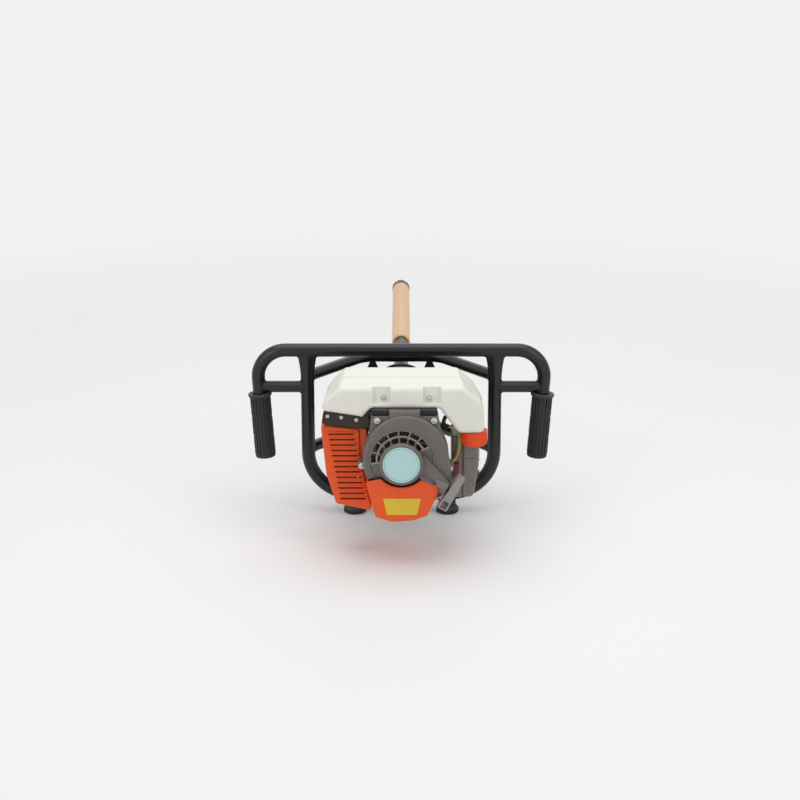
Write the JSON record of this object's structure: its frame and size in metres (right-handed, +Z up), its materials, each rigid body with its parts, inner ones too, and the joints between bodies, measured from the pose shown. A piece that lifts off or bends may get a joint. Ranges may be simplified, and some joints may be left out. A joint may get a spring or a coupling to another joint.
{
  "type": "portable drilling rig",
  "caption": "Hand-held core drilling rig with an inverted two-stroke engine, planetary gearbox, black tube frame with two grips, and a long core barrel.",
  "frame": {"origin": "bottom centre of the whole part's box, on the plane that its two feet and hose barb stand on", "axes": "+Y from the recoil starter along the drill string to the bit, +Z up through the fuel tank, +X to the right seen from the starter"},
  "size_m": [0.501, 1.0882, 0.2899],
  "materials": {
    "black_paint": "satin powder coat",
    "black_rubber": "matte moulded",
    "orange_plastic": "satin moulded",
    "grey_plastic": "satin moulded",
    "white_plastic": "satin blow moulded",
    "black_plastic": "matte moulded",
    "cast_alloy": "as cast",
    "steel": "machined",
    "dark_steel": "blackened",
    "tan_coating": "satin",
    "brass": "machined",
    "red_plastic": "satin moulded",
    "foam": "open foam",
    "hose_yellow": "clear tinted",
    "rope": "braided"
  },
  "bodies": {
    "rig": {"handlebar_tube": "black_paint", "hoop_tube": "black_paint", "handle_stub_left": "black_paint", "handle_stub_right": "black_paint", "rear_brace_upper": "black_paint", "rear_brace_lower": "black_paint", "frame_plate": "black_paint", "gearbox_housing": "black_paint", "gearbox_cover": "black_paint", "grip_left": "black_rubber", "grip_right": "black_rubber", "foot_left": "black_rubber", "foot_right": "black_rubber", "ignition_lead": "black_rubber", "cylinder_shroud": "orange_plastic", "muffler_cover": "orange_plastic", "recoil_cover": "grey_plastic", "air_cleaner_base": "grey_plastic", "air_cleaner_cover": "grey_plastic", "fuel_tank_front": "white_plastic", "fuel_tank_rear": "white_plastic", "heat_shield": "black_plastic", "intake_insulator": "black_plastic", "ignition_coil": "black_plastic", "tank_outlet": "black_plastic", "crankcase": "cast_alloy", "cylinder": "cast_alloy", "clutch_housing": "cast_alloy", "carburettor": "cast_alloy", "swivel_body": "cast_alloy", "ring_gear": "steel", "spindle_bearing": "steel", "recoil_spring": "steel", "spark_plug": "steel", "muffler": "dark_steel", "valve_body": "brass", "hose_barb": "brass", "air_filter": "foam", "fuel_hose": "hose_yellow"},
    "crank": {"crankshaft": "steel", "flywheel": "cast_alloy", "clutch_rotor": "dark_steel"},
    "pull": {"pull_handle": "grey_plastic", "starter_rope": "rope"},
    "reel": {"recoil_reel": "black_plastic", "rope_winding": "rope"},
    "drum": {"clutch_drum": "steel", "sun_shaft": "steel"},
    "spindle": {"planet_carrier": "steel", "drill_rod": "dark_steel", "core_barrel": "tan_coating", "core_bit": "dark_steel"},
    "planet_a": {"planet_1": "steel"},
    "planet_b": {"planet_2": "steel"},
    "planet_c": {"planet_3": "steel"},
    "throttle": {"throttle_lever": "steel"},
    "choke": {"choke_lever": "red_plastic"},
    "primer": {"primer_bulb": "red_plastic"},
    "filler_cap": {"fuel_cap": "orange_plastic"},
    "tap": {"valve_lever": "red_plastic"}
  },
  "joints": [
    {"name": "crank_spin", "type": "hinge", "parent": "rig", "child": "crank", "pos_m": [0, -0.48185, 0.172], "axis": [0, 1, 0], "continuous": true},
    {"name": "recoil_pull", "type": "slide", "parent": "rig", "child": "pull", "axis": [0.8572, 0, -0.515], "range_m": [0, 0.6], "stiffness_N_per_m": 15, "springref_m": -0.15},
    {"name": "reel_spin", "type": "hinge", "parent": "rig", "child": "reel", "pos_m": [0, -0.53455, 0.172], "axis": [0, 1, 0], "range_deg": [0, 1520]},
    {"name": "spindle_spin", "type": "hinge", "parent": "rig", "child": "spindle", "pos_m": [0, -0.25515, 0.172], "axis": [0, 1, 0], "continuous": true},
    {"name": "drum_spin", "type": "hinge", "parent": "rig", "child": "drum", "pos_m": [0, -0.39415, 0.172], "axis": [0, 1, 0], "continuous": true},
    {"name": "planet_a_spin", "type": "hinge", "parent": "spindle", "child": "planet_a", "pos_m": [0, -0.28715, 0.202], "axis": [0, 1, 0], "continuous": true},
    {"name": "planet_b_spin", "type": "hinge", "parent": "spindle", "child": "planet_b", "pos_m": [-0.02598, -0.28715, 0.157], "axis": [0, 1, 0], "continuous": true},
    {"name": "planet_c_spin", "type": "hinge", "parent": "spindle", "child": "planet_c", "pos_m": [0.02598, -0.28715, 0.157], "axis": [0, 1, 0], "continuous": true},
    {"name": "throttle_turn", "type": "hinge", "parent": "rig", "child": "throttle", "pos_m": [0.0646, -0.44615, 0.1283], "axis": [0, 0, -1], "range_deg": [0, 75], "stiffness_Nm_per_rad": 0.02, "springref_deg": -22.92},
    {"name": "choke_turn", "type": "hinge", "parent": "rig", "child": "choke", "pos_m": [0.0864, -0.46045, 0.126], "axis": [0, 1, 0], "range_deg": [0, 60]},
    {"name": "primer_press", "type": "slide", "parent": "rig", "child": "primer", "axis": [0, 0, 1], "range_m": [0, 0.004], "stiffness_N_per_m": 400, "springref_m": -0.001},
    {"name": "cap_turn", "type": "hinge", "parent": "rig", "child": "filler_cap", "pos_m": [0.1125, -0.48215, 0.2087], "axis": [0, 0, 1], "range_deg": [0, 720]},
    {"name": "tap_turn", "type": "hinge", "parent": "rig", "child": "tap", "pos_m": [0.0183, -0.12915, 0.096], "axis": [1, 0, 0], "range_deg": [0, 90]}
  ],
  "couplings": [
    {"joint": "reel_spin", "follows": "recoil_pull", "rad_per_m": 44.15},
    {"joint": "drum_spin", "follows": "spindle_spin", "ratio": 4},
    {"joint": "planet_a_spin", "follows": "spindle_spin", "ratio": -3},
    {"joint": "planet_b_spin", "follows": "spindle_spin", "ratio": -3},
    {"joint": "planet_c_spin", "follows": "spindle_spin", "ratio": -3}
  ]
}
